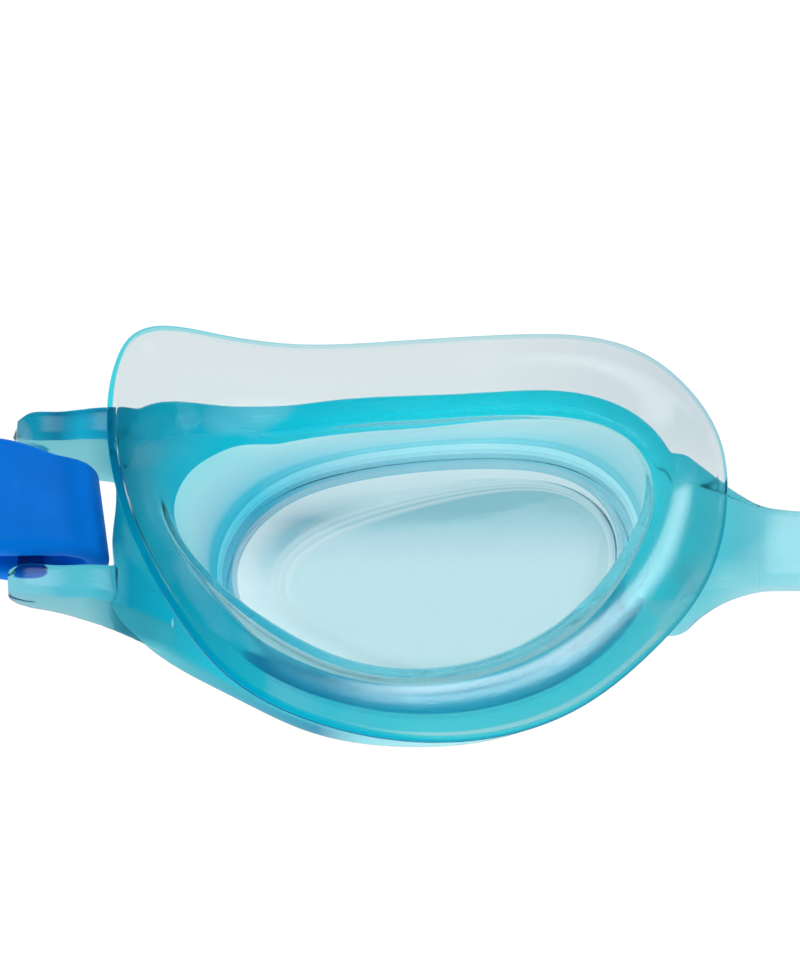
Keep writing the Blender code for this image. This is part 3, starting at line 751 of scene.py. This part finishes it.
def left_frame(body):
    """The left part of the moulding, with its inside cut out."""
    made = slice_between(body, "left_frame_moulding", None, -BRIDGE_BEND - BRIDGE_SEAM)
    rows, zones = hollow_rows()
    cutter = finish_mesh("hollow", closed_mesh(rows, ring=False, zones=zones))
    cut = made.modifiers.new("hollow", "BOOLEAN")
    cut.operation = "DIFFERENCE"
    cut.solver = "EXACT"
    cut.object = cutter
    applied(made)
    carry_zones(made, cutter)
    remove(cutter)
    made.data.shade_smooth()
    made.data.set_sharp_from_angle(angle=math.radians(MOULDING_SHARP))
    return made


def section(run, steps=4):
    """Rows and zones of a section, with smooth steps between the (row, zone) pairs of the run."""
    rows = smooth_run([row for row, _ in run], steps)
    zones = np.array([np.broadcast_to(zone, STATIONS) for _, zone in run])
    along = np.arange(len(rows)) / steps
    whole = np.minimum(along.astype(int), len(run) - 2)
    part = (along - whole)[:, None]
    return list(rows), list(zones[whole] * (1 - part) + zones[whole + 1] * part)


def left_gasket():
    """One thin wall: sleeve, creased throat, crowned skirt and its free edge, whose painted teal shade is
    deepest at the temple.
    """
    bottom = sleeve_line(0.0)
    bulge = SKIRT_CROWN * (0.35 + 0.65 * smooth_step((18 - SKIRT[:, 1]) / 13))
    crown = np.column_stack([0 * bulge, 0 * bulge, bulge])
    away = SKIRT[:, :2] - CUP_CENTRE
    around = np.arctan2(away[:, 1], away[:, 0])
    # painted shade: how deep the free edge's teal is round the cup
    strength = np.interp(np.degrees(around) % 360, *zip(*EDGE_SHADE_STRENGTH))
    edge = 0.92 + 0.08 * strength
    band = (0.25 + 0.35 * smooth_step((strength - 0.5) / 0.5))[:, None]
    thin = np.array([0.0, 0.0, SKIRT_WALL])
    inner = [
        (bottom, 0.0),
        (between(bottom, THROAT, 0.35), 0.08),
        (between(bottom, THROAT, 0.7), 0.16),
        (THROAT, 0.24),
    ]
    over = [
        (THROAT, 0.24),
        (between(THROAT, SKIRT, 0.06) + 0.42 * crown, 0.28),
        (between(THROAT, SKIRT, 0.16) + 0.80 * crown, 0.34),
        (between(THROAT, SKIRT, 0.35) + crown, 0.45),
        (between(THROAT, SKIRT, 0.62) + 0.86 * crown, 0.62),
        (between(THROAT, SKIRT, 0.85) + 0.50 * crown, 0.80),
        (between(offset(SKIRT, -0.95), SKIRT, 0.0, 0.50), 0.88),
        (offset(SKIRT, -band - 0.15) + [0.0, 0.0, SKIRT_EDGE], 0.92),
        (offset(SKIRT, -band) + [0.0, 0.0, SKIRT_EDGE - 0.03], edge),
        (between(offset(SKIRT, -0.08), SKIRT, 0.0, SKIRT_EDGE * 0.6), edge),
        (SKIRT, edge),
        (between(offset(SKIRT, -0.08), SKIRT, 0.0, -SKIRT_EDGE * 0.6), edge),
        (offset(SKIRT, -band) + [0.0, 0.0, 0.03 - SKIRT_EDGE], edge),
        (offset(SKIRT, -band - 0.15) + [0.0, 0.0, -SKIRT_EDGE], 0.92),
        (between(offset(SKIRT, -0.95), SKIRT, 0.0, -0.42), 0.88),
        (between(THROAT, SKIRT, 0.82) + 0.52 * crown - thin, 0.80),
        (between(THROAT, SKIRT, 0.62) + 0.86 * crown - thin, 0.62),
        (between(THROAT, SKIRT, 0.37) + crown - 1.15 * thin, 0.45),
        (between(THROAT, SKIRT, 0.22) + 0.70 * crown - 1.3 * thin, 0.32),
        (offset(sleeve_line(0.86), SLEEVE_WALL), 0.16),
        (offset(sleeve_line(0.45), SLEEVE_WALL), 0.08),
        (offset(bottom, SLEEVE_WALL), 0.0),
    ]
    inner_rows, inner_zones = section(inner)
    over_rows, over_zones = section(over)
    skirt = closed_mesh(inner_rows[:-1] + over_rows, ring=True, zones=inner_zones[:-1] + over_zones)
    return finish_mesh("left_gasket_skirt", skirt, sharp=45)


def left_lens():
    """A flanged lens: a window that stands forward inside soft steps, which are widest at the temple,
    and a slightly hollow back, marked as zone 2."""
    reach = (STEP_REACH[0] + STEP_REACH[1] * smooth_step((-22 - LENS[:, 0]) / 36))[:, None]
    steps = [(3.7, 0.56, 0.1), (3.45, 0.60, 0.25), (3.2, 0.66, 0.4), (2.95, 0.72, 0.55),
             (2.7, 0.80, 0.7), (2.45, 0.86, 0.85), (2.2, 0.92, 1.0), (1.8, 0.95, 1.0)]
    flange = [(-1.0, 0.96, 1.4), (0.85, 1.0, 1.7), (1.0, 1.12, 1.7), (1.0, 2.48, 2.0),
              (0.85, 2.6, 2.0), (-0.25, 2.6, 2.0), (-1.3, 2.5, 2.0)]
    rows, zones = [], []
    for share in (0.2, 0.4, 0.6, 0.8, 1.0):
        rows.append(at_height(towards_middle(offset(LENS, -3.9 * reach), share), 0.42 + 0.12 * share**2))
        zones.append(0.0)
    for inset, height, zone in steps:
        rows.append(at_height(offset(LENS, -inset * reach), height))
        zones.append(zone)
    for outset, height, zone in flange:
        rows.append(at_height(offset(LENS, outset), height))
        zones.append(zone)
    for share in (0.9, 0.78, 0.7, 0.55, 0.4, 0.25, 0.12):
        rows.append(at_height(towards_middle(offset(LENS, flange[-1][0]), share), 1.9 + 0.6 * share**2))
        zones.append(2.0)
    return finish_mesh("left_lens_window", closed_mesh(rows, ring=False, zones=zones), sharp=28)


# ---- strap ----

def ribbon(name, middle, across, widths, corner=4):
    """A flat strap along the points of middle, its width along the across vectors."""
    rows = []
    tangents = np.gradient(middle, axis=0)
    for point, tangent, side, width in zip(middle, tangents, across, widths):
        tangent = tangent / np.linalg.norm(tangent)
        side = side - tangent * np.dot(side, tangent)
        side = side / np.linalg.norm(side)
        up = np.cross(tangent, side)
        shape = rounded_rectangle(width, STRAP_THICK, STRAP_ROUNDING, corner)
        rows.append([point + side * a + up * b for a, b in shape])
    return finish_mesh(name, closed_mesh(rows, ring=False), sharp=50)


def arch():
    """Half of the worn strap's middle line from the left loop to the back, as (x, rise above the axis)."""
    start = np.array([FOLD[0][0], FOLD[0][1] - EXIT_Z])
    leave = start + EXIT_PULL * np.array([-math.cos(EXIT_ANGLE), math.sin(EXIT_ANGLE)])
    leg = np.array([-LEG_X, LEG_START])
    arrive = leg - np.array([0.0, LEG_PULL])
    t = np.linspace(0, 1, 49)[:, None]
    out = start * (1 - t)**3 + 3 * leave * t * (1 - t)**2 + 3 * arrive * t**2 * (1 - t) + leg * t**3
    straight = [(-LEG_X, rise) for rise in np.linspace(LEG_START, LEG_END, 22)[1:]]
    turn = np.linspace(0, math.pi / 2, 50)[1:]
    back = np.column_stack([-LEG_X * np.cos(turn), LEG_END + (STRAP_REACH - LEG_END) * np.sin(turn)])
    return np.vstack([out, straight, back])


def laid(points):
    """The arch laid down behind the goggles: its middle line, width direction and run so far."""
    steps = np.linalg.norm(np.diff(points, axis=0), axis=1)
    run = np.concatenate([[0.0], np.cumsum(steps)])
    angle = LAID * smooth_step(run / TWIST_LENGTH)
    middle = np.column_stack([points[:, 0], STRAP_Y + points[:, 1] * np.sin(angle),
                              EXIT_Z + points[:, 1] * np.cos(angle)])
    across = np.column_stack([np.zeros(len(run)), np.cos(angle), -np.sin(angle)])
    return middle, across, run


def strap_fold():
    """The strap's turn round the left end bar, narrower where it passes through the loop."""
    line = smooth_run(FOLD, 8)
    into = smooth_step((line[:, 0] - FOLD[0][0]) / NECK_LENGTH)
    fold_middle = np.column_stack([line[:, 0], STRAP_Y - NECK_SHIFT * into, line[:, 1]])
    widths = STRAP_WIDTH + (STRAP_NECK - STRAP_WIDTH) * into
    fold = ribbon("strap_fold_left", fold_middle, np.tile([0.0, 1.0, 0.0], (len(line), 1)), widths)
    foot = STRAP_Y - CENTRE_Y - STRAP_WIDTH / 2
    for vertex in fold.data.vertices:
        lean = float(smooth_step((vertex.co.x / MM - FOLD[0][0]) / NECK_LENGTH))
        vertex.co.x -= lean * (FOLD_SLANT * (vertex.co.y - foot * MM) - FOLD_REACH * MM)
    return fold


def strap_runs():
    """The main run from the left fold to the adjuster, the tail beside it and the run round the back."""
    points = arch()
    middle, across, run = laid(points)
    leg_side = points[:, 0] < -LEG_X / 2
    seam = int(np.argmin(np.where(leg_side, np.abs(points[:, 1] - SLIDE_AT), np.inf)))
    side = slice(0, seam + 1)
    side_run = ribbon("strap_run_left", middle[side], across[side], [STRAP_WIDTH] * (seam + 1))
    flip = np.array([-1, 1, 1])
    back_middle = np.vstack([middle[seam:], (middle[seam:] * flip)[-2::-1]])
    back_across = np.vstack([across[seam:], across[seam:][-2::-1]])
    back = ribbon("strap_back_run", back_middle, back_across, [STRAP_WIDTH] * len(back_middle))

    normal = np.cross(across, np.gradient(middle, axis=0))
    normal /= np.linalg.norm(normal, axis=1)[:, None]
    share = np.clip(run / TAIL_GAP_RUN, 0, 1)[:, None]
    away = TAIL_GAPS[0] + (TAIL_GAPS[1] - TAIL_GAPS[0]) * share
    keep = leg_side & (points[:, 1] <= TAIL_END)
    tail_line = (middle - normal * away)[keep]
    to_end = np.linalg.norm(tail_line - tail_line[-1], axis=1)
    taper, loss = TAIL_TAPER
    widths = STRAP_WIDTH * (1 - loss * np.clip(1 - to_end / taper, 0, 1)**2.5)
    tail = ribbon("strap_tail_run_left", tail_line, across[keep], widths)
    return side_run, tail, back


def adjuster(side):
    """A moulded keeper: a rounded block with grip ridges, and a channel for each layer of the strap."""
    sign = 1 if side == "right" else -1
    channel = STRAP_THICK + SLIDE_ROOM
    tall = STRAP_WIDTH + SLIDE_ROOM
    inner = LEG_X - channel / 2 - SLIDE_WALL
    outer = LEG_X + TAIL_GAPS[1] + channel / 2 + SLIDE_WALL
    behind, below = SLIDE_AT * math.cos(DROP), SLIDE_AT * math.sin(DROP)
    middle = Vector((0.0, STRAP_Y + behind - CENTRE_Y, EXIT_Z - below)) * MM

    def block(name, x, width, long, height):
        bm = bmesh.new()
        bmesh.ops.create_cube(bm, size=1.0, matrix=Matrix.Diagonal((width * MM, long * MM, height * MM, 1)))
        bmesh.ops.translate(bm, vec=(sign * x * MM, 0, 0), verts=bm.verts)
        mesh = bpy.data.meshes.new(name)
        bm.to_mesh(mesh)
        bm.free()
        return new_object(name, mesh)

    body = block(f"adjuster_{side}", (inner + outer) / 2, outer - inner, SLIDE_LENGTH, tall + 2 * SLIDE_RIM)
    rounding = body.modifiers.new("rounding", "BEVEL")
    rounding.width = SLIDE_ROUNDING * MM
    rounding.segments = 4
    applied(body)
    cutters = [block(f"channel_{n}", LEG_X + away, channel, SLIDE_LENGTH * 2, tall)
               for n, away in enumerate((0.0, TAIL_GAPS[1]))]
    for n in range(4):
        groove = block(f"grip_{n}", outer, GRIP, GRIP, tall - GRIP_SHORT)
        groove.data.transform(Matrix.Translation((0, (n - 1.5) * GRIP_PITCH * MM, 0)))
        cutters.append(groove)
    for cutter in cutters:
        cut = body.modifiers.new(cutter.name, "BOOLEAN")
        cut.operation = "DIFFERENCE"
        cut.solver = "EXACT"
        cut.object = cutter
    edge = body.modifiers.new("edges", "BEVEL")
    edge.width = SLIDE_EDGE * MM
    edge.segments = 2
    edge.limit_method = "ANGLE"
    edge.angle_limit = math.radians(40)
    applied(body)
    remove(*cutters)
    body.data.transform(Matrix.Translation(middle) @ Matrix.Rotation(-DROP, 4, "X"))
    body.data.shade_smooth()
    body.data.set_sharp_from_angle(angle=math.radians(35))
    return body


# ---- floor, lights and camera ----

def make_floor():
    """A white floor that glows evenly, so that it stays plain under the goggles."""
    bm = bmesh.new()
    bmesh.ops.create_grid(bm, x_segments=1, y_segments=1, size=FLOOR_SIZE)
    bmesh.ops.translate(bm, vec=(0, 0, -FLOOR_GAP * MM), verts=bm.verts)
    floor = finish_mesh("floor", bm)
    m = Nodes("floor_white")
    m.set(Base_Color=(0.08, 0.08, 0.08, 1.0), Roughness=0.9, Specular_IOR_Level=0.0,
          Emission_Color=(1.0, 1.0, 1.0, 1.0), Emission_Strength=1.0)
    clothe(floor, m.material)


def make_lights():
    """A white sky, dimmer overhead, and three soft lamps."""
    world = bpy.data.worlds.new("studio")
    bpy.context.scene.world = world
    world.use_nodes = True
    background = world.node_tree.nodes["Background"]
    background.inputs["Color"].default_value = (1.0, 1.0, 1.0, 1.0)
    tree = world.node_tree
    direction = tree.nodes.new("ShaderNodeTexCoord")
    split = tree.nodes.new("ShaderNodeSeparateXYZ")
    fade = tree.nodes.new("ShaderNodeMapRange")
    fade.interpolation_type = "SMOOTHSTEP"
    for socket, value in SKY_FADE.items():
        fade.inputs[socket].default_value = value
    tree.links.new(direction.outputs["Generated"], split.inputs["Vector"])
    tree.links.new(split.outputs["Z"], fade.inputs["Value"])
    tree.links.new(fade.outputs["Result"], background.inputs["Strength"])
    for name, place, size, power in LAMPS:
        data = bpy.data.lights.new(name, "AREA")
        data.shape = "RECTANGLE"
        data.size, data.size_y = size
        data.energy = power
        lamp = bpy.data.objects.new(name, data)
        bpy.context.scene.collection.objects.link(lamp)
        lamp.location = place
        lamp.rotation_euler = (-Vector(place)).to_track_quat("-Z", "Y").to_euler()


def make_camera():
    """Over the left cup from the cheek side, 60 degrees above the surface."""
    x, y, z = CAMERA_TARGET
    target = Vector((x, y - CENTRE_Y, z)) * MM
    distance = CAMERA_LENS / CAMERA_SENSOR * CAMERA_VIEW * MM
    data = bpy.data.cameras.new("camera")
    data.lens = CAMERA_LENS
    data.sensor_width = CAMERA_SENSOR
    data.clip_start, data.clip_end = 0.01, 20.0
    camera = bpy.data.objects.new("camera", data)
    bpy.context.scene.collection.objects.link(camera)
    back = Vector((0.0, -math.cos(CAMERA_ELEVATION), math.sin(CAMERA_ELEVATION)))
    camera.location = target + back * distance
    camera.rotation_euler = (-back).to_track_quat("-Z", "Y").to_euler()
    bpy.context.scene.camera = camera


def with_twin(piece):
    """A left-hand piece and its new right-hand twin, each with the name of its side."""
    return ("left", piece), ("right", mirrored_copy(piece, piece.name.replace("left", "right")))


def add_cups(aqua, satin, clear):
    """Both cups' frames, gaskets and lenses, and the bridge between them."""
    body = moulding()
    bridge = slice_between(body, "nose_bridge_strip", -BRIDGE_BEND, BRIDGE_BEND)
    cup = [(left_frame(body), "frame", aqua, "aqua_frame"), (left_gasket(), "gasket", satin, "aqua_gasket"),
           (left_lens(), "lens", clear, "tinted_lens")]
    remove(body)
    for piece, node, finish, slot in cup:
        for side, obj in with_twin(piece):
            clothe(obj, finish)
            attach(obj, f"cup_{side}")
            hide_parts(f"{side}_{node}")
    clothe(bridge, aqua)
    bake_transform(bridge)
    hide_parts("nose_bridge")


def add_strap(blue):
    """The folds, the runs and tails beside them, which twist from flat at the loop towards upright, and the
    back.
    """
    fold = strap_fold()
    side_run, tail, back = strap_runs()
    for piece, node in ((fold, "strap_end"), (side_run, None), (tail, "strap_tail")):
        for side, obj in with_twin(piece):
            clothe(obj, blue)
            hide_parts(f"{node}_{side}" if node else "strap_band")
            if piece is fold:
                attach(obj, "strap_ends")
            else:
                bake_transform(obj)
    clothe(back, blue)
    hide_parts("strap_band")
    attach(back, "strap")


def add_adjusters(dark):
    for side in ("left", "right"):
        keeper = adjuster(side)
        clothe(keeper, dark)
        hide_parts(f"strap_slide_{side}")
        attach(keeper, f"slide_{side}")


def build():
    scene = bpy.context.scene
    scene.view_settings.view_transform = "Standard"
    scene.cycles.max_bounces = LIGHT_BOUNCES
    scene.cycles.transmission_bounces = LIGHT_BOUNCES
    make_camera()
    make_floor()
    make_lights()
    aqua, satin, clear = frame_material(), gasket_material(), lens_material()
    blue, dark = strap_material(), slide_material()
    add_cups(aqua, satin, clear)
    add_strap(blue)
    add_adjusters(dark)


build()
